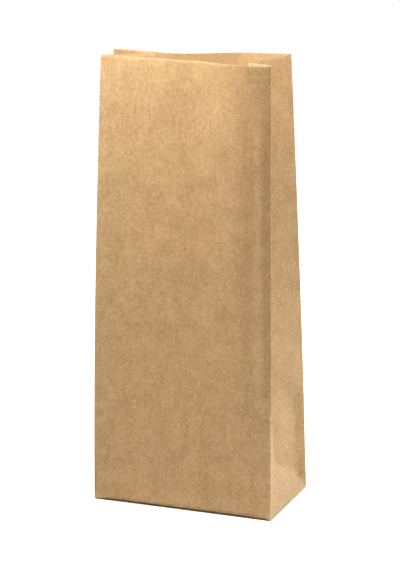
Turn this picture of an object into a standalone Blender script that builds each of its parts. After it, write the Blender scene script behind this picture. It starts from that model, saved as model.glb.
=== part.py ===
"""A brown paper lunch bag that stands open: one sheet of kraft paper, folded and pasted.

The paper is a tube with two gussets, each creased down its middle and folded inwards, and
its lower end is closed as a flat block bottom. The wall is a loft: every row of it is the
outline that the four folded panels have at one height, and each upright line of paper
keeps its own length while it leans. Metres, +Z up. The front faces -Y, and the origin is
the middle of the bottom, on the ground.
"""

import math

import bmesh
import bpy
from mathutils import Vector

# The folded sheet
WIDTH = 0.120  # across the front and across the back
DEPTH = 0.071  # the width of a gusset, and so of the bottom
HEIGHT = 0.285  # along the paper, from the bottom fold to the cut edge
PAPER = 0.00015  # one layer of paper

# The lengthwise pasted seam, on the back
SEAM_LAP = 0.014  # the width where the sheet's two edges lie on each other
SEAM_AT = 0.046  # from the back's right-hand edge to the middle of the lap
SEAM_STEP = 0.0002  # how wide the step at each side of the lap is

# The block bottom
FLAP_LAP = 0.018  # how far the back flap lies over the front one
TUCK_LAP = 0.010  # how far a side flap reaches past the middle of a gusset
KNEE = 0.029  # how far up the paper a gusset's two corner creases meet
FLAP_MARGIN = 0.0022  # from a bottom fold to where its flap begins to lie flat
FOLD_RISE = 0.0005  # the height of the rounded bottom fold at the corners
FRONT_ARCH = 0.0009  # how much higher the front fold bows up in its middle

# The mouth, half open. A gusset is more open on the right than on the left.
MOUTH_LEFT = 0.031  # between the two left-hand upright edges at the mouth
MOUTH_RIGHT = 0.056  # between the two right-hand ones
MOUTH_LEFT_Y = -0.0027  # the middle of the first gap, from the middle of the bottom
MOUTH_RIGHT_Y = -0.0027  # and of the second
SHIFT_X = {  # how far each upright edge's upper end lies to the right of its foot
    "front_left": 0.0,
    "front_right": -0.003,
    "back_right": -0.0095,
    "back_left": -0.005,
}
# How each upright edge bends on its way up: 1 leans evenly, more leaves it for the mouth
BEND_X = {"front_left": 1.0, "front_right": 1.3, "back_right": 1.35, "back_left": 1.3}
BEND_Y = {"front_left": 1.8, "front_right": 0.9, "back_right": 0.8, "back_left": 1.2}
FRONT_BULGE = 0.007  # how far the front's cut edge bows outwards
FRONT_BULGE_AT = 0.83  # where it bows most, as a share of the way from left to right
FRONT_BULGE_FROM = 0.55  # where that bow begins
BACK_DENT = 0.0085  # how far the back's cut edge bows inwards
BACK_DENT_AT = 0.58  # where it does most, as a share of the way from right to left
BACK_DENT_FROM = 0.20
GUSSET_BOW = 0.0042  # how far the left gusset's back half bows towards the back
GUSSET_BOW_LEAN = 2.4  # above 1 it bows most beyond the half's middle, near the crease
BOW_POWER = 3.0  # how fast these bows die out below the mouth
BACK_KINK = 0.0004  # how far the back bends in at the crease where the bottom folds flat

# How finely the paper is divided
FACE_SPANS = 16
SEAM_SIDE_SPANS = 6
SEAM_SPANS = 2
HALF_SPANS = 6  # across half a gusset, and up its corner triangles
UPPER_ROWS = 15

HALF_W = WIDTH / 2 - PAPER
HALF_D = DEPTH / 2 - PAPER
HALF_GUSSET = HALF_D
GROUND = 2 * PAPER  # the two flaps lie below the bottom's innermost layer
FLOOR = GROUND + PAPER  # the bottom's upper side

FEET = {
    "front_left": Vector((-HALF_W, -HALF_D)),
    "front_right": Vector((HALF_W, -HALF_D)),
    "back_right": Vector((HALF_W, HALF_D)),
    "back_left": Vector((-HALF_W, HALF_D)),
}
MOUTH_Y = {
    "front_left": MOUTH_LEFT_Y - MOUTH_LEFT / 2,
    "front_right": MOUTH_RIGHT_Y - MOUTH_RIGHT / 2,
    "back_right": MOUTH_RIGHT_Y + MOUTH_RIGHT / 2,
    "back_left": MOUTH_LEFT_Y + MOUTH_LEFT / 2,
}


def clear_scene():
    for old in list(bpy.data.objects):
        bpy.data.objects.remove(old, do_unlink=True)


def kraft_paper():
    material = bpy.data.materials.new("kraft_paper")
    material.use_nodes = True
    shader = material.node_tree.nodes["Principled BSDF"]
    shader.inputs["Base Color"].default_value = (0.56, 0.36, 0.18, 1.0)
    shader.inputs["Roughness"].default_value = 0.85
    shader.inputs["Metallic"].default_value = 0.0
    return material


def ease(x):
    """0 to 1 with level ends."""
    x = min(max(x, 0.0), 1.0)
    return x * x * (3 - 2 * x)


def upright_edge(name, up):
    """Where an upright edge passes, at this share of the height: straight up to the knee."""
    foot = FEET[name]
    knees = up * HEIGHT / KNEE
    bent = max(up, KNEE / HEIGHT)
    x = SHIFT_X[name] * bent ** BEND_X[name]
    y = (MOUTH_Y[name] - foot.y) * bent ** BEND_Y[name]
    if name.startswith("back"):
        y -= BACK_KINK * min(max(2 - knees, 0.0), 1.0)
    return foot + Vector((x, y)) * min(knees, 1.0)


def outward(start, end):
    """The level direction that faces out of a panel, for panels named anticlockwise."""
    along = (end - start).normalized()
    return Vector((along.y, -along.x))


def front_bow(share):
    """The front's cut edge: straight from the left, then a rounded bow near the right."""
    if share < FRONT_BULGE_AT:
        return ease((share - FRONT_BULGE_FROM) / (FRONT_BULGE_AT - FRONT_BULGE_FROM))
    return 1 - ((share - FRONT_BULGE_AT) / (1 - FRONT_BULGE_AT)) ** 2


def back_bow(share):
    """The back's cut edge: a long shallow hollow."""
    if share < BACK_DENT_AT:
        return ease((share - BACK_DENT_FROM) / (BACK_DENT_AT - BACK_DENT_FROM))
    return ease((1 - share) / (1 - BACK_DENT_AT))


def face_point(start, end, share, along_paper, bow):
    """A point of the front or the back, seen from above."""
    up = along_paper / HEIGHT
    a, b = upright_edge(start, up), upright_edge(end, up)
    return a.lerp(b, share) + outward(a, b) * bow(share) * up**BOW_POWER


def front_point(s, along_paper):
    def bow(share):
        return FRONT_BULGE * front_bow(share)

    return face_point("front_left", "front_right", s / (2 * HALF_W), along_paper, bow)


def back_point(s, along_paper):
    def bow(share):
        return -BACK_DENT * back_bow(share)

    return face_point("back_right", "back_left", s / (2 * HALF_W), along_paper, bow)


def middle_crease(a, b):
    """A gusset's middle crease: half a gusset away from both upright edges, inside them."""
    gap = (b - a).length
    inset = math.sqrt(max(HALF_GUSSET**2 - gap**2 / 4, 0.0))
    return (a + b) / 2 - outward(a, b) * inset


def gusset_point(start, end, s, along_paper):
    """A point of a gusset. Two creases run up from the bottom's corners to the knee."""
    up = along_paper / HEIGHT
    a, b = upright_edge(start, up), upright_edge(end, up)
    near = a if s <= HALF_GUSSET else b
    across = min(s, 2 * HALF_GUSSET - s) / HALF_GUSSET
    if along_paper >= KNEE:
        return near.lerp(middle_crease(a, b), across)

    knee_a, knee_b = upright_edge(start, KNEE / HEIGHT), upright_edge(end, KNEE / HEIGHT)
    knee = middle_crease(knee_a, knee_b)
    climbed = along_paper / KNEE
    if climbed <= across:
        on_fold = FEET[start].lerp(FEET[end], s / (2 * HALF_GUSSET))
        return on_fold + (knee - (FEET[start] + FEET[end]) / 2) * climbed
    knee_near = knee_a if s <= HALF_GUSSET else knee_b
    return near + (knee - knee_near) * across


def right_gusset_point(s, along_paper):
    return gusset_point("front_right", "back_right", s, along_paper)


def left_gusset_point(s, along_paper):
    """The left gusset is pressed nearly flat, and its back half bows against the back."""
    point = gusset_point("back_left", "front_left", s, along_paper)
    if s < HALF_GUSSET:
        bow = math.sin(math.pi * (s / HALF_GUSSET) ** GUSSET_BOW_LEAN)
        point.y += GUSSET_BOW * bow * (along_paper / HEIGHT) ** BOW_POWER
    return point


def spans(first, last, count):
    """The starts of equal spans, without the last span's end."""
    return [first + (last - first) * i / count for i in range(count)]


def back_columns():
    """Across the back: plain spans, and the lap with a narrow step at each side."""
    low, high = SEAM_AT - SEAM_LAP / 2, SEAM_AT + SEAM_LAP / 2
    return (
        spans(0.0, low - SEAM_STEP, SEAM_SIDE_SPANS)
        + [low - SEAM_STEP]
        + spans(low, high, SEAM_SPANS)
        + [high]
        + spans(high + SEAM_STEP, 2 * HALF_W, 2 * SEAM_SIDE_SPANS)
    )


def is_seam(s):
    return abs(s - SEAM_AT) <= SEAM_LAP / 2 + SEAM_STEP / 4


def front_fold_rise(x):
    return FOLD_RISE + FRONT_ARCH * max(0.0, 1 - (x / HALF_W) ** 2)


def wall_columns():
    """Every upright line of the tube: its panel, its place on it, and its layers."""
    panels = [
        (front_point, spans(0.0, 2 * HALF_W, FACE_SPANS)),
        (right_gusset_point, spans(0.0, 2 * HALF_GUSSET, 2 * HALF_SPANS)),
        (back_point, back_columns()),
        (left_gusset_point, spans(0.0, 2 * HALF_GUSSET, 2 * HALF_SPANS)),
    ]
    columns = []
    for point, places in panels:
        for s in places:
            layers = 2 if point is back_point and is_seam(s) else 1
            columns.append((point, s, layers))
    return columns


def wall_rows():
    """Lengths up the paper: as many up to the knee as half a gusset's spans, then longer."""
    mouth = HEIGHT - FLOOR
    return spans(0.0, KNEE, HALF_SPANS) + spans(KNEE, mouth, UPPER_ROWS) + [mouth]


def upright_line(point, s, rows):
    """One line of paper: each step leans as its panel does and keeps its length."""
    foot = point(s, 0.0)
    on_front = point is front_point or (point is right_gusset_point and s == 0.0)
    rise = front_fold_rise(foot.x) if on_front else FOLD_RISE
    here = Vector((foot.x, foot.y, FLOOR + rise))
    line = [here]
    for low, high in zip(rows, rows[1:]):
        flat = point(s, high)
        step = (flat - here.xy).length
        length = high - max(low, rise)
        climb = math.sqrt(max(length**2 - step**2, 0.0))
        here = Vector((flat.x, flat.y, here.z + climb))
        line.append(here)
    return line


def fold_loops(feet):
    """The rounded bottom fold: from the wall's feet inwards and down to the floor."""
    loops = []
    for turn in (math.pi / 4, math.pi / 2):
        loop = []
        for foot in feet:
            rise = foot.z - FLOOR
            inset = rise * (1 - math.cos(turn))
            x = math.copysign(min(abs(foot.x), HALF_W - inset), foot.x)
            y = math.copysign(min(abs(foot.y), HALF_D - inset), foot.y)
            loop.append(Vector((x, y, FLOOR + rise * (1 - math.sin(turn)))))
        loops.append(loop)
    return loops


def corner_cell(column, row):
    """Whether a corner crease crosses this cell, and which way it climbs."""
    point, s, _ = column
    if point not in (right_gusset_point, left_gusset_point) or row >= HALF_SPANS:
        return None
    span = round(s / (HALF_GUSSET / HALF_SPANS))
    if span == row:
        return "right"
    if 2 * HALF_SPANS - 1 - span == row:
        return "left"
    return None


def sheet_mesh():
    """The paper's inner side as one surface, open at the mouth."""
    columns, rows = wall_columns(), wall_rows()
    lines = [upright_line(point, s, rows) for point, s, _ in columns]
    bm = bmesh.new()
    layer = bm.verts.layers.deform.verify()

    def add(co, layers):
        vert = bm.verts.new(co)
        vert[layer][0] = layers / 2
        return vert

    wall = [
        [add(line[row], column[2]) for line, column in zip(lines, columns)]
        for row in range(len(rows))
    ]
    feet = [line[0] for line in lines]
    curve = [[add(co, 1) for co in loop] for loop in fold_loops(feet)]
    count = len(columns)
    for low, high in zip([curve[1], curve[0]], [curve[0], wall[0]]):
        for i in range(count):
            k = (i + 1) % count
            bm.faces.new((low[i], low[k], high[k], high[i]))
    for row, (low, high) in enumerate(zip(wall, wall[1:])):
        for i in range(count):
            k = (i + 1) % count
            climb = corner_cell(columns[i], row)
            if climb == "right":
                bm.faces.new((low[i], low[k], high[k]))
                bm.faces.new((low[i], high[k], high[i]))
            elif climb == "left":
                bm.faces.new((low[i], low[k], high[i]))
                bm.faces.new((low[k], high[k], high[i]))
            else:
                bm.faces.new((low[i], low[k], high[k], high[i]))
    bm.faces.new(reversed(curve[1]))
    mesh = bpy.data.meshes.new("bag")
    bm.to_mesh(mesh)
    bm.free()
    return mesh


def flap(name, outline, low, high):
    """A flap of the bottom, as a flat layer between two heights."""
    bm = bmesh.new()
    face = bm.faces.new([bm.verts.new((x, y, low)) for x, y in outline])
    top = bmesh.ops.extrude_face_region(bm, geom=[face])["geom"]
    lifted = [item for item in top if isinstance(item, bmesh.types.BMVert)]
    bmesh.ops.translate(bm, verts=lifted, vec=(0, 0, high - low))
    bmesh.ops.recalc_face_normals(bm, faces=bm.faces)
    mesh = bpy.data.meshes.new(name)
    bm.to_mesh(mesh)
    bm.free()
    layer = bpy.data.objects.new(name, mesh)
    layer.hide_render = True
    layer.display_type = "WIRE"
    bpy.context.collection.objects.link(layer)
    return layer


def long_flap(name, side, reach, low, high):
    """A front or back flap: mitred at 45 degrees, then straight over the middle."""
    edge = side * (DEPTH / 2 - FLAP_MARGIN)
    wide = WIDTH / 2 - 2 * FLAP_MARGIN
    narrow = wide - abs(edge)
    outline = [
        (-wide, edge),
        (wide, edge),
        (narrow, 0.0),
        (narrow, -side * reach),
        (-narrow, -side * reach),
        (-narrow, 0.0),
    ]
    return flap(name, outline, low, high)


def side_tuck(name, side, low, high):
    """A gusset's own flap: a rectangle that lies innermost, seen from the mouth."""
    outer = side * (WIDTH / 2 - FLAP_MARGIN)
    inner = side * (WIDTH / 2 - DEPTH / 2 - TUCK_LAP)
    half = DEPTH / 2 - FLAP_MARGIN
    outline = [(outer, -half), (inner, -half), (inner, half), (outer, half)]
    return flap(name, outline, low, high)


def bottom_layers():
    """What folding the tube's end lays on the bottom, below it and inside it."""
    joined = PAPER / 2
    return [
        long_flap("front_flap", -1, FLAP_LAP / 2, GROUND - PAPER, GROUND + joined),
        long_flap("back_flap", 1, FLAP_LAP / 2, 0.0, GROUND + joined),
        side_tuck("left_tuck", -1, FLOOR - joined, FLOOR + PAPER),
        side_tuck("right_tuck", 1, FLOOR - joined, FLOOR + PAPER),
    ]


def build_bag():
    bag = bpy.data.objects.new("bag", sheet_mesh())
    bpy.context.collection.objects.link(bag)
    bag.data.materials.append(kraft_paper())
    bag.vertex_groups.new(name="layers")

    paper = bag.modifiers.new("paper", "SOLIDIFY")
    paper.thickness = 2 * PAPER
    paper.offset = 1.0
    paper.use_even_offset = True
    paper.vertex_group = "layers"

    for layer in bottom_layers():
        pasted = bag.modifiers.new(layer.name, "BOOLEAN")
        pasted.operation = "UNION"
        pasted.solver = "EXACT"
        pasted.object = layer
    return bag


clear_scene()
build_bag()
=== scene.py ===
"""The looks of a brown paper lunch bag: its folded sheet in fine detail, kraft paper, light and camera.

The sheet follows the same folds as the CAD part: a tube with two gussets, pinched at the
mouth, and a block bottom. Here it also has rounded creases, the relief that handling and
packing leave in paper, and a pasted seam. Metres, +Z up, and the front faces -Y.
"""

import math

import bpy
import numpy as np
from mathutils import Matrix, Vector


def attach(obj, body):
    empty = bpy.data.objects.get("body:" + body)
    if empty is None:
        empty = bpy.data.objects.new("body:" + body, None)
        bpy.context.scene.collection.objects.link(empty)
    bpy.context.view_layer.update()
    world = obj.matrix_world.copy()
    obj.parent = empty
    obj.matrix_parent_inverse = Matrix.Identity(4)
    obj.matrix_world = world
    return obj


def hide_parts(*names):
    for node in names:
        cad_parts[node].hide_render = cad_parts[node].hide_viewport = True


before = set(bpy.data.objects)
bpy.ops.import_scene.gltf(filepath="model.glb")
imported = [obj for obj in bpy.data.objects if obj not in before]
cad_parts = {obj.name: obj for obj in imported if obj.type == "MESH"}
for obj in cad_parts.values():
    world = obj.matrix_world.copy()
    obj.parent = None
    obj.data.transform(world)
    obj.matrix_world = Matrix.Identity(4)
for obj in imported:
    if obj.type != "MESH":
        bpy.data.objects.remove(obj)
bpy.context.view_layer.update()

# The folded sheet, as in the CAD part
WIDTH = 0.120
DEPTH = 0.071
HEIGHT = 0.285
PAPER = 0.00015
SEAM_LAP = 0.014
SEAM_AT = 0.046
FLAP_LAP = 0.018
TUCK_LAP = 0.010
KNEE = 0.029
FLAP_MARGIN = 0.0022
FOLD_RISE = 0.0005
FRONT_ARCH = 0.0009
MOUTH_LEFT = 0.031
MOUTH_RIGHT = 0.056
MOUTH_LEFT_Y = -0.0027
MOUTH_RIGHT_Y = -0.0027
SHIFT_X = {"front_left": 0.0, "front_right": -0.003, "back_right": -0.0095, "back_left": -0.005}
BEND_X = {"front_left": 1.0, "front_right": 1.3, "back_right": 1.35, "back_left": 1.3}
BEND_Y = {"front_left": 1.8, "front_right": 0.9, "back_right": 0.8, "back_left": 1.2}
FRONT_BULGE = 0.007
FRONT_BULGE_AT = 0.83
FRONT_BULGE_FROM = 0.55
BACK_DENT = 0.0085
BACK_DENT_AT = 0.58
BACK_DENT_FROM = 0.20
GUSSET_BOW = 0.0042
GUSSET_BOW_LEAN = 2.4
BOW_POWER = 3.0
BACK_KINK = 0.0004

HALF_W = WIDTH / 2 - PAPER
HALF_D = DEPTH / 2 - PAPER
HALF_GUSSET = HALF_D
GROUND = 2 * PAPER
FLOOR = GROUND + PAPER
FEET = {
    "front_left": np.array((-HALF_W, -HALF_D)),
    "front_right": np.array((HALF_W, -HALF_D)),
    "back_right": np.array((HALF_W, HALF_D)),
    "back_left": np.array((-HALF_W, HALF_D)),
}
MOUTH_Y = {
    "front_left": MOUTH_LEFT_Y - MOUTH_LEFT / 2,
    "front_right": MOUTH_RIGHT_Y - MOUTH_RIGHT / 2,
    "back_right": MOUTH_RIGHT_Y + MOUTH_RIGHT / 2,
    "back_left": MOUTH_LEFT_Y + MOUTH_LEFT / 2,
}

# How finely the sheet is divided, and how round its creases are
STEP = 0.0024
ROW_STEP = 0.0026
EDGE_MARKS = (0.0, 0.00014, 0.00028, 0.00042, 0.00055, 0.0009, 0.0015)
MIDDLE_MARKS = (0.0, 0.0003, 0.0006, 0.0009, 0.0012, 0.0017, 0.0026)
ROUNDED = 5  # how many of these marks a crease's bend takes in
MOUTH_MARKS = (0.0020, 0.0011, 0.0005, 0.0002, 0.0)
IMPRINT_MARKS = (-0.0020, -0.0013, -0.0007, 0.0, 0.0007, 0.0013, 0.0020)
RIGHT_BAND = 0.022  # the front's columns are twice as close in this band of it
SEAM_SOFT = 0.0012  # how wide the lap's hidden edge shows through, and how sharp its open edge is
SEAM_SHARP = 0.00008
SEAM_MARK = 0.0006
TURNS = np.radians((90.0, 67.5, 45.0, 22.5))  # the rings of the bottom fold

# Slow waves of the panels
RIPPLES = 7
RIPPLE_ALONG = (0.03, 0.11)  # the shortest and longest wave along a panel, and up it
RIPPLE_UP = (0.05, 0.16)
RIPPLE_EDGE = 0.02  # how far from a crease, and from the floor, they are full
RIPPLE_LOW = 0.06
PANEL_RIPPLE = 0.0006
GUSSET_RIPPLE = 0.00035
GUSSET_RIPPLE_LOW = 0.03
RIPPLE_SEED = {"front": 3, "back": 5, "right_gusset": 7, "left_gusset": 9}

# What handling and packing have pressed into the paper. A profile is (place, height) marks
IMPRINT_UP = 0.0645  # the line that the folded bottom pressed across the front
IMPRINT_DEEP = 0.00016
IMPRINT_WIDE = 0.0011
IMPRINT_BY_EDGE = 2.5  # it is deeper towards the right edge
IMPRINT_EDGE = 0.025
GROOVE = ((0.0, 0.0), (0.0062, 0.0016), (0.0105, 0.0010), (0.0200, 0.0019), (0.0500, 0.0))
GROOVE_LOW = (0.058, 0.080)  # where up the front the groove begins and is full
GROOVE_HIGH = (0.232, 0.275)
PRESSED = 0.00013  # the gussets' inner creases show through the front
PRESSED_WIDE = 0.0020
PRESSED_LEFT = ((0.12, 0.16), (0.24, 0.27))  # where up the front each begins and ends
PRESSED_RIGHT = ((0.19, 0.23), (0.285, 0.30))
NICK_UP = 0.0655  # the dent in the front's right edge
NICK_DEEP = 0.0010
NICK_WIDE = 0.0016
FOOT_UP = 0.0075  # how far up the front its foot flares out, and how steeply
FOOT_SLOPE = 0.14
FOOT_WAVE = 0.0012
FOOT_WAVE_LONG = 0.0083
FOOT_PATCHES = (  # where it starts higher: along the front, half width, how much higher
    (0.052, 0.011, 0.0075),
    (0.077, 0.006, 0.0040),
    (0.028, 0.007, 0.0020),
)
FOOT_FADES = (0.018, 0.055)
LIP = 0.00018  # how far the cut edge of the front curls in
LIP_UP = 0.0016
RELIEF_EDGE = 0.0004  # how near an upright edge the front's relief ends
DENTS = (  # on the front: along, up, half width, half height, how deep
    (0.0760, 0.0700, 0.0045, 0.0060, -0.00022),
    (0.0300, 0.0300, 0.0060, 0.0050, -0.00018),
    (0.0860, 0.0240, 0.0050, 0.0070, 0.00020),
    (0.0520, 0.1120, 0.0080, 0.0120, -0.00020),
)
SIDE_TURN = ((0.0, 0.0), (0.0090, -0.0021), (0.0300, 0.0))  # the right side's back edge flares
SIDE_TURN_SOFT = 0.004  # how soon above the corner crease it does
SIDE_TURN_HIGH = (0.050, 0.068)
SIDE_DIP = 0.0035  # the right side's middle crease is drawn in, half way up
SIDE_DIP_LOW = (0.09, 0.17)
SIDE_DIP_HIGH = (0.25, 0.287)
ARCH_POWER = 8  # how late towards its ends the arch of the front's bottom edge comes down
SLIT_REACH = 0.0065  # how far back the arched front of the bottom lifts off the floor
SLIT_FULL = 2.5  # how soon from the ends of the arch it does
SLIT_INSET = (1.0, 0.42, 0.050, 0.012)  # a share of the reach and of the rise, for each ring
SLIT_UP = (0.0, 0.60, 0.93, 0.99)

# Where the paper is painted pale, how wide and how much: rubbed wear, and along the edges a painted
# highlight too
WORN_AND_HIGHLIGHT_WIDE = 0.00055
WORN_EDGE_AND_HIGHLIGHT = 0.45  # its upright edges: rubbed wear and a painted highlight
PAINTED_CORNER_HIGHLIGHT = 0.9  # a painted highlight down the front's right edge, below the imprint
PAINTED_CORNER_HIGHLIGHT_FROM = 0.001
PAINTED_CORNER_HIGHLIGHT_SOFT = 0.002
WORN_MOUTH_AND_HIGHLIGHT = 0.6  # its cut edge: its paler core and a painted highlight where it faces the lamps above
WORN_MOUTH_AND_HIGHLIGHT_WIDE = 0.0004
WORN_FOOT = 0.35  # its bottom fold


def ease(x):
    x = np.clip(x, 0.0, 1.0)
    return x * x * (3 - 2 * x)


def hill(x, at, wide):
    return np.exp(-(((x - at) / wide) ** 2))


def profile(x, marks):
    """A smooth line through (place, height) marks, level at each of them."""
    height = np.full(np.shape(x), marks[-1][1], float)
    for (x0, y0), (x1, y1) in zip(marks, marks[1:]):
        height = np.where((x >= x0) & (x < x1), y0 + (y1 - y0) * ease((x - x0) / (x1 - x0)), height)
    return height


def between(x, low, high):
    """1 in a band that begins within the two low marks and ends within the two high ones."""
    return ease((x - low[0]) / (low[1] - low[0])) * ease((high[1] - x) / (high[1] - high[0]))


def places(length, low_marks, high_marks, step):
    """Where the columns of a panel stand: close together near its creases."""
    low = np.array(low_marks)
    high = length - np.array(high_marks)[::-1]
    count = max(2, round((high[0] - low[-1]) / step))
    return np.concatenate([low, np.linspace(low[-1], high[0], count + 1)[1:-1], high])


# From above: where the paper stands at each length up it


def upright_edge(name, up):
    foot = FEET[name]
    knees = up * HEIGHT / KNEE
    bent = np.maximum(up, KNEE / HEIGHT)
    x = SHIFT_X[name] * bent ** BEND_X[name]
    y = (MOUTH_Y[name] - foot[1]) * bent ** BEND_Y[name]
    if name.startswith("back"):
        y = y - BACK_KINK * np.clip(2 - knees, 0.0, 1.0)
    if name == "front_right":
        x = x - NICK_DEEP * hill(up * HEIGHT, NICK_UP, NICK_WIDE)
    return foot + np.stack([x, y], -1) * np.minimum(knees, 1.0)[..., None]


def outward(a, b):
    along = (b - a) / np.linalg.norm(b - a, axis=-1, keepdims=True)
    return np.stack([along[..., 1], -along[..., 0]], -1)


def front_bow(share):
    left = ease((share - FRONT_BULGE_FROM) / (FRONT_BULGE_AT - FRONT_BULGE_FROM))
    right = 1 - ((share - FRONT_BULGE_AT) / (1 - FRONT_BULGE_AT)) ** 2
    return np.where(share < FRONT_BULGE_AT, left, right)


def back_bow(share):
    right = ease((share - BACK_DENT_FROM) / (BACK_DENT_AT - BACK_DENT_FROM))
    left = ease((1 - share) / (1 - BACK_DENT_AT))
    return np.where(share < BACK_DENT_AT, right, left)


def ripple(s, v, length, seed):
    """Slow waves in a panel, still at its creases and at the bottom."""
    rng = np.random.default_rng(seed)
    wave = 0.0
    for _ in range(RIPPLES):
        long_s, long_v = rng.uniform(*RIPPLE_ALONG), rng.uniform(*RIPPLE_UP)
        turn_s, turn_v = rng.uniform(0, 2 * math.pi, 2)
        wave_s = np.sin(s / long_s * 2 * math.pi + turn_s)
        wave_v = np.sin(v / long_v * 2 * math.pi + turn_v)
        wave = wave + wave_s * wave_v
    edge = ease(np.minimum(s, length - s) / RIPPLE_EDGE)
    return wave / RIPPLES * edge * ease(v / RIPPLE_LOW)


def front_relief(s, v):
    """How far the front stands out of its plain form."""
    right = 2 * HALF_W - s
    out = profile(right, GROOVE) * between(v, GROOVE_LOW, GROOVE_HIGH)
    by_edge = 1 + IMPRINT_BY_EDGE * ease((IMPRINT_EDGE - right) / IMPRINT_EDGE)
    out = out - IMPRINT_DEEP * by_edge * hill(v, IMPRINT_UP, IMPRINT_WIDE)
    out = out + PRESSED * hill(s, HALF_GUSSET, PRESSED_WIDE) * between(v, *PRESSED_LEFT)
    out = out + PRESSED * hill(right, HALF_GUSSET, PRESSED_WIDE) * between(v, *PRESSED_RIGHT)
    foot = FOOT_UP + FOOT_WAVE * np.sin(s / FOOT_WAVE_LONG * 2 * math.pi)
    for along, wide, high in FOOT_PATCHES:
        foot = foot + high * hill(s, along, wide)
    fades = 1 - ease((v - FOOT_FADES[0]) / (FOOT_FADES[1] - FOOT_FADES[0]))
    out = out - FOOT_SLOPE * foot * ease(v / foot) * fades
    out = out - LIP * ease((v - mouth_row + LIP_UP) / LIP_UP)
    for along, up, wide, high, deep in DENTS:
        out = out + deep * hill(s, along, wide) * hill(v, up, high)
    edge = ease(np.minimum(s, right) / RELIEF_EDGE)
    return edge * out + PANEL_RIPPLE * ripple(s, v, 2 * HALF_W, RIPPLE_SEED["front"])


def back_relief(s, v):
    return PANEL_RIPPLE * ripple(s, v, 2 * HALF_W, RIPPLE_SEED["back"])


def face(start, end, bow, relief, s, v):
    """A wide panel: s runs along it from one upright edge to the other, v up the paper."""
    up = v / HEIGHT
    a, b = upright_edge(start, up)[None], upright_edge(end, up)[None]
    share = (s / (2 * HALF_W))[:, None]
    out = bow(share) * up[None] ** BOW_POWER + relief(s[:, None], v[None])
    return a + (b - a) * share[..., None] + outward(a, b) * out[..., None]


def front(s, v):
    return face("front_left", "front_right", lambda x: FRONT_BULGE * front_bow(x), front_relief, s, v)


def back(s, v):
    return face("back_right", "back_left", lambda x: -BACK_DENT * back_bow(x), back_relief, s, v)


def middle_crease(a, b):
    """Where a gusset's middle stands, so that each half of it keeps its width."""
    gap = np.linalg.norm(b - a, axis=-1)
    inset = np.sqrt(np.maximum(HALF_GUSSET**2 - gap**2 / 4, 0.0))
    return (a + b) / 2 - outward(a, b) * inset[..., None]


def gusset(start, end, s, v, seed):
    """A gusset that folds in above the knee, with the corner triangles of the bottom below it."""
    up = v / HEIGHT
    a, b = upright_edge(start, up)[None], upright_edge(end, up)[None]
    first = (s <= HALF_GUSSET + 1e-9)[:, None, None]
    near = np.where(first, a, b)
    across = (np.minimum(s, 2 * HALF_GUSSET - s) / HALF_GUSSET)[:, None, None]
    crease = middle_crease(a, b)
    above = near + (crease - near) * across

    knee_up = np.array([KNEE / HEIGHT])
    knee_a, knee_b = upright_edge(start, knee_up)[None], upright_edge(end, knee_up)[None]
    knee = middle_crease(knee_a, knee_b)
    climbed = (v / KNEE)[None, :, None]
    feet_middle = (FEET[start] + FEET[end]) / 2
    share = (s / (2 * HALF_GUSSET))[:, None, None]
    on_fold = FEET[start] + (FEET[end] - FEET[start]) * share
    triangle = on_fold + (knee - feet_middle) * climbed
    beside = near + (knee - np.where(first, knee_a, knee_b)) * across
    below = np.where(climbed <= across + 1e-9, triangle, beside)
    point = np.where(climbed < 1 - 1e-9, below, above)

    half = np.where(s <= HALF_GUSSET, s, 2 * HALF_GUSSET - s)[:, None]
    wave = GUSSET_RIPPLE * ripple(half, v[None], HALF_GUSSET, seed)
    wave = wave * ease((v[None] - KNEE) / GUSSET_RIPPLE_LOW)
    facing = np.where(first, outward(a, crease), outward(crease, b))
    return point + facing * wave[..., None]


def right_gusset(s, v):
    point = gusset("front_right", "back_right", s, v, RIPPLE_SEED["right_gusset"])
    from_back = (2 * HALF_GUSSET - s)[:, None]
    crease_up = KNEE * from_back / HALF_GUSSET
    band = between(v[None] - crease_up, (0.0, SIDE_TURN_SOFT), SIDE_TURN_HIGH)
    point[..., 0] += profile(from_back, SIDE_TURN) * band
    across = np.minimum(s, 2 * HALF_GUSSET - s)[:, None] / HALF_GUSSET
    point[..., 0] -= SIDE_DIP * across * between(v, SIDE_DIP_LOW, SIDE_DIP_HIGH)[None]
    return point


def left_gusset(s, v):
    point = gusset("back_left", "front_left", s, v, RIPPLE_SEED["left_gusset"])
    half = np.clip(s / HALF_GUSSET, 0, 1)
    bow = np.sin(math.pi * half**GUSSET_BOW_LEAN)[:, None] * (v / HEIGHT)[None] ** BOW_POWER
    point[..., 1] += GUSSET_BOW * bow
    return point


# The grid of the sheet: columns round the tube, rows up the paper
mouth_row = HEIGHT - FLOOR
half_gusset = places(HALF_GUSSET, EDGE_MARKS, MIDDLE_MARKS, STEP)
gusset_places = np.concatenate([half_gusset, 2 * HALF_GUSSET - half_gusset[::-1][1:]])
front_places = np.concatenate(
    [
        places(2 * HALF_W - RIGHT_BAND, EDGE_MARKS, (0.0,), STEP),
        2 * HALF_W - RIGHT_BAND + places(RIGHT_BAND, (0.0,), EDGE_MARKS, STEP / 2)[1:],
    ]
)
seam_low, seam_high = SEAM_AT - SEAM_LAP / 2, SEAM_AT + SEAM_LAP / 2
seam_end = seam_high + SEAM_SHARP
back_places = np.concatenate(
    [
        places(seam_low, EDGE_MARKS, (0.0, SEAM_SOFT / 2, SEAM_SOFT), STEP),
        seam_low + places(SEAM_LAP, (0.0,), (0.0, SEAM_MARK), STEP)[1:],
        seam_end + places(2 * HALF_W - seam_end, (0.0, SEAM_MARK), EDGE_MARKS, STEP),
    ]
)
knee_rows = KNEE * half_gusset / HALF_GUSSET
mouth_rows = mouth_row - np.array(MOUTH_MARKS)
imprint_rows = IMPRINT_UP + np.array(IMPRINT_MARKS)
low_count = round((imprint_rows[0] - KNEE) / ROW_STEP)
high_count = round((mouth_rows[0] - imprint_rows[-1]) / ROW_STEP)
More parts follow.
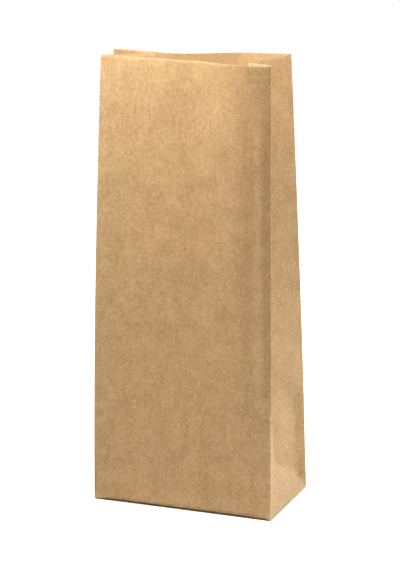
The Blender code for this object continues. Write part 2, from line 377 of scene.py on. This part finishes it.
rows = np.concatenate(
    [
        knee_rows,
        np.linspace(KNEE, imprint_rows[0], low_count + 1)[1:-1],
        imprint_rows,
        np.linspace(imprint_rows[-1], mouth_rows[0], high_count + 1)[1:-1],
        mouth_rows,
    ]
)

panels = [
    ("front", front, front_places),
    ("right_gusset", right_gusset, gusset_places),
    ("back", back, back_places),
    ("left_gusset", left_gusset, gusset_places),
]
flat = []
panel_of = []
place_of = []
for number, (name, shape, at) in enumerate(panels):
    points = shape(at, rows)
    flat.append(points[:-1])
    panel_of += [number] * (len(at) - 1)
    place_of += list(at[:-1])
flat = np.concatenate(flat)
panel_of = np.array(panel_of)
place_of = np.array(place_of)
columns = len(flat)


def round_crease(flat, at, marks):
    """Replaces a fold's columns, within the last mark of it, by a smooth bend."""
    reach = marks[-1]
    count = len(marks) - 1
    corner = flat[at].copy()
    low, high = flat[(at - count) % columns].copy(), flat[(at + count) % columns].copy()
    offsets = [-m for m in marks[::-1]] + list(marks[1:])
    for step, offset in zip(range(-count, count + 1), offsets):
        t = (offset + reach) / (2 * reach)
        flat[(at + step) % columns] = (1 - t) ** 2 * low + 2 * t * (1 - t) * corner + t * t * high


corners = [0, len(front_places) - 1]
corners += [corners[1] + len(gusset_places) - 1]
corners += [corners[2] + len(back_places) - 1]
middles = [corners[1] + len(half_gusset) - 1, corners[3] + len(half_gusset) - 1]
for at in corners:
    round_crease(flat, at, EDGE_MARKS[:ROUNDED])
for at in middles:
    round_crease(flat, at, MIDDLE_MARKS[:ROUNDED])

# Each upright line of paper keeps its own length
on_front = (panel_of == 0) | (np.arange(columns) == corners[1])
foot_x = flat[:, 0, 0]
arched = np.where(on_front, np.maximum(0.0, 1 - (foot_x / HALF_W) ** ARCH_POWER), 0.0)
rise = FOLD_RISE + FRONT_ARCH * arched
step = np.linalg.norm(np.diff(flat, axis=1), axis=-1)
length = rows[None, 1:] - np.maximum(rows[None, :-1], rise[:, None])
climb = np.sqrt(np.maximum(np.maximum(length, 0.0) ** 2 - step**2, 0.0))
climbed = np.concatenate([np.zeros((columns, 1)), np.cumsum(climb, axis=1)], axis=1)
z = FLOOR + rise[:, None] + climbed
wall = np.concatenate([flat, z[..., None]], axis=-1)

# The rounded bottom fold, from the floor up to the wall's feet. Where the front is arched, the
# bottom slopes down behind a thin lip, so that a dark slit shows under it
slit = np.minimum(1.0, SLIT_FULL * arched)
fold = []
for turn, slit_inset, slit_up in zip(TURNS, SLIT_INSET, SLIT_UP):
    inset = rise * (1 - math.cos(turn))
    front_inset = inset + (SLIT_REACH * slit_inset - inset) * slit
    x = np.sign(flat[:, 0, 0]) * np.minimum(abs(flat[:, 0, 0]), HALF_W - inset)
    y = np.sign(flat[:, 0, 1]) * np.minimum(abs(flat[:, 0, 1]), HALF_D - front_inset)
    lifted = 1 - math.sin(turn)
    fold.append(np.stack([x, y, FLOOR + rise * (lifted + (slit_up - lifted) * slit)], -1))
rings = np.concatenate([np.stack(fold, 1), wall], axis=1)
ring_count = rings.shape[1]

# Faces of the sheet. A corner crease of a gusset runs along the diagonals of its cells
inner = rings.reshape(-1, 3)


def index(column, ring):
    return (column % columns) * ring_count + ring


half_cells = len(half_gusset) - 1
faces = []
creases = set()
for column in range(columns):
    side = panel_of[column]
    first = corners[1] if side == 1 else corners[3]
    for ring in range(ring_count - 1):
        a, b = index(column, ring), index(column + 1, ring)
        c, d = index(column + 1, ring + 1), index(column, ring + 1)
        row = ring - len(TURNS)
        cell = column - first
        if side in (1, 3) and 0 <= row < half_cells and cell == row:
            faces += [(a, b, c), (a, c, d)]
            creases.add((a, c))
        elif side in (1, 3) and 0 <= row < half_cells and 2 * half_cells - 1 - cell == row:
            faces += [(a, b, d), (b, c, d)]
            creases.add((b, d))
        else:
            faces.append((a, b, c, d))
floor_ring = [index(column, 0) for column in range(columns)]


def new_mesh(name, points, polygons):
    mesh = bpy.data.meshes.new(name)
    mesh.from_pydata([tuple(p) for p in points], [], polygons)
    mesh.validate()
    mesh.update()
    return mesh


sketch = new_mesh("sketch", inner, faces + [tuple(floor_ring[::-1])])
normals = np.zeros(len(sketch.vertices) * 3)
sketch.vertices.foreach_get("normal", normals)
normals = normals.reshape(-1, 3)
bpy.data.meshes.remove(sketch)

# The lap of the pasted seam is two layers: one edge shows, the other only presses through
lap = np.ones(columns)
on_back = panel_of == 2
lap[on_back] += ease((place_of[on_back] - (seam_low - SEAM_SOFT)) / SEAM_SOFT) * (
    place_of[on_back] <= seam_high + SEAM_SHARP / 2
)
thick = np.repeat(PAPER * lap, ring_count).reshape(columns, ring_count)
thick[:, : len(TURNS)] = PAPER
outer = inner + normals * thick.reshape(-1)[:, None]
outer[[index(c, 0) for c in range(columns)], 2] = GROUND

total = len(inner)
polygons = [tuple(total + i for i in f) for f in faces]
polygons += [tuple(reversed(f)) for f in faces]
polygons += [tuple(total + i for i in floor_ring[::-1]), tuple(floor_ring)]
top = ring_count - 1
for column in range(columns):
    a, b = index(column, top), index(column + 1, top)
    polygons.append((total + a, total + b, b, a))
points = np.concatenate([inner, outer])


def prism(outline, low, high):
    """A flat layer of paper between two heights, as points and faces."""
    count = len(outline)
    base = len(points)
    made = [(x, y, low) for x, y in outline] + [(x, y, high) for x, y in outline]
    area = sum(a[0] * b[1] - b[0] * a[1] for a, b in zip(outline, outline[1:] + outline[:1]))
    turn = 1 if area > 0 else -1
    under = tuple(range(base, base + count))
    over = tuple(range(base + count, base + 2 * count))
    loops = [under[::-turn], over[::turn]]
    for i in range(count):
        k = (i + 1) % count
        loop = (base + i, base + k, base + count + k, base + count + i)
        loops.append(loop[::turn])
    return made, loops


def long_flap(side):
    edge = side * (DEPTH / 2 - FLAP_MARGIN)
    wide = WIDTH / 2 - 2 * FLAP_MARGIN
    narrow = wide - abs(edge)
    reach = -side * FLAP_LAP / 2
    return [(-wide, edge), (wide, edge), (narrow, 0.0), (narrow, reach), (-narrow, reach), (-narrow, 0.0)]


def side_tuck(side):
    far = side * (WIDTH / 2 - FLAP_MARGIN)
    near = side * (WIDTH / 2 - DEPTH / 2 - TUCK_LAP)
    back_edge = DEPTH / 2 - FLAP_MARGIN
    front_edge = SLIT_REACH + PAPER - DEPTH / 2
    return [(far, front_edge), (near, front_edge), (near, back_edge), (far, back_edge)]


joined = PAPER / 2
for outline, low, high in (
    (long_flap(-1), GROUND - PAPER, GROUND + joined),
    (long_flap(1), 0.0, GROUND + joined),
    (side_tuck(-1), FLOOR - joined, FLOOR + PAPER),
    (side_tuck(1), FLOOR - joined, FLOOR + PAPER),
):
    made, loops = prism(outline, low, high)
    points = np.concatenate([points, made])
    polygons += loops

sheet = new_mesh("paper_bag", points, polygons)
bag = bpy.data.objects.new("paper_bag", sheet)
bpy.context.scene.collection.objects.link(bag)

# Smooth shading, but sharp at the corner creases, the cut edge and the flaps
sheet.polygons.foreach_set("use_smooth", np.ones(len(sheet.polygons), bool))
ends = np.zeros(len(sheet.edges) * 2, int)
sheet.edges.foreach_get("vertices", ends)
ends = np.sort(ends.reshape(-1, 2), axis=1)
crease_keys = np.array([sorted(c) for c in creases])
crease_keys = np.concatenate([crease_keys, crease_keys + total])
key = ends[:, 0] * len(points) + ends[:, 1]
sharp = np.isin(key, crease_keys[:, 0] * len(points) + crease_keys[:, 1])
is_top = np.zeros(len(points), bool)
for column in range(columns):
    is_top[index(column, top)] = is_top[total + index(column, top)] = True
sharp |= is_top[ends[:, 0]] & is_top[ends[:, 1]]
sharp |= ends[:, 0] >= 2 * total
attribute = sheet.attributes.new("sharp_edge", "BOOLEAN", "EDGE")
attribute.data.foreach_set("value", sharp)

# How far each point is painted pale, as rubbed wear and as painted highlight, and which points lie on the
# paper's inner side
panel_length = np.array([2 * HALF_W, 2 * HALF_GUSSET, 2 * HALF_W, 2 * HALF_GUSSET])[panel_of]
from_edge = np.minimum(place_of, panel_length - place_of)
up_paper = np.concatenate([np.zeros(len(TURNS)), rows])
wear_and_highlight = WORN_EDGE_AND_HIGHLIGHT * hill(from_edge, 0.0, WORN_AND_HIGHLIGHT_WIDE)[:, None] * np.ones(ring_count)
near_right = np.minimum(abs(place_of - 2 * HALF_W) + (panel_of != 0), place_of + (panel_of != 1))
# The front's right edge below the imprint gets a painted highlight
below_imprint = ease((IMPRINT_UP - PAINTED_CORNER_HIGHLIGHT_FROM - up_paper) / PAINTED_CORNER_HIGHLIGHT_SOFT)
corner_highlight = hill(near_right, 0.0, 2 * WORN_AND_HIGHLIGHT_WIDE)[:, None] * below_imprint
wear_and_highlight = np.maximum(wear_and_highlight, PAINTED_CORNER_HIGHLIGHT * corner_highlight)
at_mouth = hill(mouth_row - up_paper, 0.0, WORN_MOUTH_AND_HIGHLIGHT_WIDE)
wear_and_highlight = np.maximum(wear_and_highlight, WORN_MOUTH_AND_HIGHLIGHT * at_mouth[None])
wear_and_highlight[:, : len(TURNS)] = WORN_FOOT
worn_and_highlight = np.concatenate([wear_and_highlight.reshape(-1), wear_and_highlight.reshape(-1), np.zeros(len(points) - 2 * total)])
attribute = sheet.attributes.new("worn_and_highlight", "FLOAT", "POINT")
attribute.data.foreach_set("value", worn_and_highlight)
# The inner side's points, which the paper material paints paler as painted light
inward = np.arange(len(points)) < total
attribute = sheet.attributes.new("inward", "FLOAT", "POINT")
attribute.data.foreach_set("value", inward.astype(float))

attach(bag, "root")
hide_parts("bag")


# Materials


class Nodes:
    """Short ways to add and join shader nodes."""

    def __init__(self, owner):
        owner.use_nodes = True
        self.tree = owner.node_tree
        self.tree.nodes.clear()

    def add(self, kind, inputs=(), **settings):
        node = self.tree.nodes.new("ShaderNode" + kind)
        for setting, value in settings.items():
            setattr(node, setting, value)
        for socket, value in dict(inputs).items():
            if isinstance(value, bpy.types.NodeSocket):
                self.tree.links.new(value, node.inputs[socket])
            else:
                node.inputs[socket].default_value = value
        return node

    def noise(self, vector, scale, detail=3.0, roughness=0.55):
        node = self.add(
            "TexNoise", {"Vector": vector, "Scale": scale, "Detail": detail, "Roughness": roughness}
        )
        return node.outputs["Fac"]

    def math(self, operation, a, b=0.0, c=0.0, clamp=False):
        node = self.add("Math", {0: a, 1: b, 2: c}, operation=operation, use_clamp=clamp)
        return node.outputs[0]

    def ramp(self, value, low, high, to_low=0.0, to_high=1.0):
        node = self.add(
            "MapRange",
            {"Value": value, "From Min": low, "From Max": high, "To Min": to_low, "To Max": to_high},
            clamp=True,
        )
        return node.outputs[0]

    def mix(self, share, a, b, blend="MIX"):
        node = self.add("Mix", {0: share, 6: a, 7: b}, data_type="RGBA", blend_type=blend)
        return node.outputs[2]


def linear(r, g, b):
    """An sRGB colour, 0 to 255, as a shader colour."""

    def one(c):
        c /= 255
        return c / 12.92 if c <= 0.04045 else ((c + 0.055) / 1.055) ** 2.4

    return (one(r), one(g), one(b), 1.0)


PATTERNS = {  # noise scale, detail, roughness, and the strength in the paper's tone
    "cloud": (90.0, 4.0, 0.6, 0.9),
    "mottle": (420.0, 4.0, 0.6, 1.2),
    "grain": (1700.0, 2.0, 0.6, 1.5),
    "streak": (900.0, 2.0, 0.5, 0.3),
}
STREAK_STRETCH = 0.05  # streaks run up the bag
HUE_NOISE = (55.0, 2.0, 0.5)
HUE_RANGE = (0.35, 0.65)
FLECK_NOISE = (1100.0, 1.0, 0.5)
FLECK_DARK = (0.68, 0.76)  # where the noise gives a dark fibre, and a light one
FLECK_LIGHT = (0.34, 0.26)
FLECK_SHARE = 0.4
WEAR_AND_HIGHLIGHT_RANGE = (0.35, 0.6, 0.45, 0.9)  # the rubbing and the painted highlight follow the mottle
BUMP_STRENGTH = 0.35
BUMP_HIGH = 0.0001
PAPER_DARK = linear(184, 142, 92)
PAPER_LIGHT = linear(232, 196, 146)
THROUGH_DARK = linear(218, 196, 146)
THROUGH_LIGHT = linear(244, 228, 190)
PAINTED_INSIDE_LIGHT = linear(250, 226, 180)  # the paper's inner side is painted paler: painted light for the bag's dim interior
PAINTED_INSIDE_LIGHT_SHARE = 0.35
TINT_GREEN = (0.985, 1.0, 0.985, 1.0)
TINT_RED = (1.0, 0.985, 1.0, 1.0)
FIBRE_DARK = linear(126, 88, 55)
FIBRE_LIGHT = linear(238, 214, 178)
THROUGH = 0.28  # how much of the light passes one face of the sheet
PAPER_ROUGH = 0.6


def kraft():
    material = bpy.data.materials.new("kraft_paper")
    n = Nodes(material)
    where = n.add("TexCoord").outputs["Object"]
    streaked = n.add("Mapping", {"Vector": where, "Scale": (1.0, 1.0, STREAK_STRETCH)}).outputs[0]
    tone = 0.5
    pattern = {}
    for name, (scale, detail, roughness, strength) in PATTERNS.items():
        vector = streaked if name == "streak" else where
        pattern[name] = n.noise(vector, scale, detail, roughness)
        tone = n.math("MULTIPLY_ADD", n.math("SUBTRACT", pattern[name], 0.5), strength, tone)
    tone = n.ramp(tone, 0.0, 1.0)
    colour = n.mix(tone, PAPER_DARK, PAPER_LIGHT)
    hue = n.ramp(n.noise(where, *HUE_NOISE), *HUE_RANGE)
    colour = n.mix(1.0, colour, n.mix(hue, TINT_GREEN, TINT_RED), "MULTIPLY")
    fleck = n.noise(where, *FLECK_NOISE)
    colour = n.mix(n.ramp(fleck, *FLECK_DARK, 0.0, FLECK_SHARE), colour, FIBRE_DARK)
    colour = n.mix(n.ramp(fleck, *FLECK_LIGHT, 0.0, FLECK_SHARE), colour, FIBRE_LIGHT)
    # The inner side is painted paler, as painted light inside the bag
    inward = n.add("Attribute", attribute_name="inward").outputs["Fac"]
    colour = n.mix(n.math("MULTIPLY", inward, PAINTED_INSIDE_LIGHT_SHARE), colour, PAINTED_INSIDE_LIGHT)
    # Edges, cut edge and bottom fold are painted paler: rubbed wear, with a painted highlight along the
    # edges
    worn_and_highlight = n.add("Attribute", attribute_name="worn_and_highlight").outputs["Fac"]
    wear_and_highlight = n.math("MULTIPLY", worn_and_highlight, n.ramp(pattern["mottle"], *WEAR_AND_HIGHLIGHT_RANGE))
    colour = n.mix(wear_and_highlight, colour, FIBRE_LIGHT)
    inside = n.mix(tone, THROUGH_DARK, THROUGH_LIGHT)
    height = n.math("ADD", pattern["grain"], pattern["streak"])
    bump = n.add("Bump", {"Strength": BUMP_STRENGTH, "Distance": BUMP_HIGH, "Height": height})
    shader = n.add(
        "BsdfPrincipled",
        {"Base Color": colour, "Roughness": PAPER_ROUGH, "Normal": bump.outputs[0]},
    )
    through = n.add("BsdfTranslucent", {"Color": inside, "Normal": bump.outputs[0]})
    both = n.add("MixShader", {0: THROUGH, 1: shader.outputs[0], 2: through.outputs[0]})
    n.add("OutputMaterial", {"Surface": both.outputs[0]})
    return material


sheet.materials.append(kraft())


# Floor, light and camera

FLOOR_SIZE = 3.0
CAMERA_TURN = math.radians(21.04)  # solved from the bag's corners in the photo
CAMERA_DOWN = math.radians(12.05)
CAMERA_FAR = 1.356
CAMERA_AT = Vector((-0.0008, 0.0, 0.1763))
FOCAL_PIXELS = 2153.0
PICTURE = (400, 570)
SHIFT_PIXELS = -58.9
SENSOR = 36.0
CONTACT_REACH = 0.006  # the floor is seen as white, but for the bag's contact shadow
CONTACT_DARK = (0.25, 0.50)
FLOOR_GREY = (0.8, 0.8, 0.8, 1.0)
WHITE = (1.0, 1.0, 1.0, 1.0)
AROUND = 0.02  # how strongly the white surroundings light the bag


def seen_directly(n):
    """1 where the eye or a shine looks, 0 where light is only gathered."""
    path = n.add("LightPath")
    seen = n.math("ADD", path.outputs["Is Camera Ray"], path.outputs["Is Glossy Ray"])
    return n.math("ADD", seen, path.outputs["Is Transmission Ray"], clamp=True)


def white_floor():
    material = bpy.data.materials.new("floor")
    n = Nodes(material)
    seen = seen_directly(n)
    plain = n.add("BsdfDiffuse", {"Color": FLOOR_GREY})
    open_sky = n.add("AmbientOcclusion", {"Distance": CONTACT_REACH}, samples=8).outputs["AO"]
    contact = n.ramp(open_sky, *CONTACT_DARK)
    glow = n.add("Emission", {"Color": WHITE, "Strength": n.math("MULTIPLY", seen, contact)})
    both = n.add("AddShader", {0: plain.outputs[0], 1: glow.outputs[0]})
    n.add("OutputMaterial", {"Surface": both.outputs[0]})
    return material


half = FLOOR_SIZE / 2
floor_corners = [(-half, -half, 0), (half, -half, 0), (half, half, 0), (-half, half, 0)]
floor_mesh = new_mesh("floor", floor_corners, [(0, 1, 2, 3)])
floor_mesh.materials.append(white_floor())
floor = bpy.data.objects.new("floor", floor_mesh)
bpy.context.scene.collection.objects.link(floor)

world = bpy.data.worlds.new("studio")
bpy.context.scene.world = world
around = Nodes(world)
studio = around.add("Background", {"Color": WHITE, "Strength": AROUND})
white = around.add("Background", {"Color": WHITE, "Strength": 1.0})
choose = around.add("MixShader", {0: seen_directly(around), 1: studio.outputs[0], 2: white.outputs[0]})
around.add("OutputWorld", {"Surface": choose.outputs[0]})


def lamp(name, at, aim, size, power, colour):
    light = bpy.data.lights.new(name, "AREA")
    light.shape = "SQUARE"
    light.size = size
    light.energy = power
    light.color = colour
    made = bpy.data.objects.new(name, light)
    made.location = at
    made.rotation_euler = (Vector(aim) - Vector(at)).to_track_quat("-Z", "Y").to_euler()
    bpy.context.scene.collection.objects.link(made)


MIDDLE = (0.0, 0.0, 0.15)
LAMPS = (  # name, place, size, power and colour
    ("right_back", (1.0, 0.8, 0.5), 0.7, 17.6, (0.94, 0.99, 1.0)),
    ("over_front", (0.0, -0.12, 0.60), 0.3, 2.7, (1.0, 1.0, 1.0)),
    ("over_mouth", (0.02, -0.02, 0.56), 0.15, 0.8, (1.0, 1.0, 1.0)),
    ("left_top", (-0.20, -0.15, 0.47), 0.15, 0.75, (0.86, 0.95, 1.0)),
    ("back", (-0.2, 1.0, 0.7), 0.7, 3.0, (1.0, 1.0, 1.0)),
    ("far_left", (-1.1, -0.2, 0.6), 0.7, 3.4, (1.0, 1.0, 1.0)),
)
for name, at, size, power, colour in LAMPS:
    lamp(name, at, MIDDLE, size, power, colour)

toward = Vector(
    (
        math.sin(CAMERA_TURN) * math.cos(CAMERA_DOWN),
        -math.cos(CAMERA_TURN) * math.cos(CAMERA_DOWN),
        math.sin(CAMERA_DOWN),
    )
)
lens = bpy.data.cameras.new("camera")
lens.sensor_fit = "VERTICAL"
lens.sensor_height = SENSOR
lens.lens = FOCAL_PIXELS / PICTURE[1] * SENSOR
lens.shift_y = SHIFT_PIXELS / PICTURE[1]
camera = bpy.data.objects.new("camera", lens)
camera.location = CAMERA_AT + toward * CAMERA_FAR
camera.rotation_euler = toward.to_track_quat("Z", "Y").to_euler()
bpy.context.scene.collection.objects.link(camera)
bpy.context.scene.camera = camera
bpy.context.scene.view_settings.view_transform = "Standard"
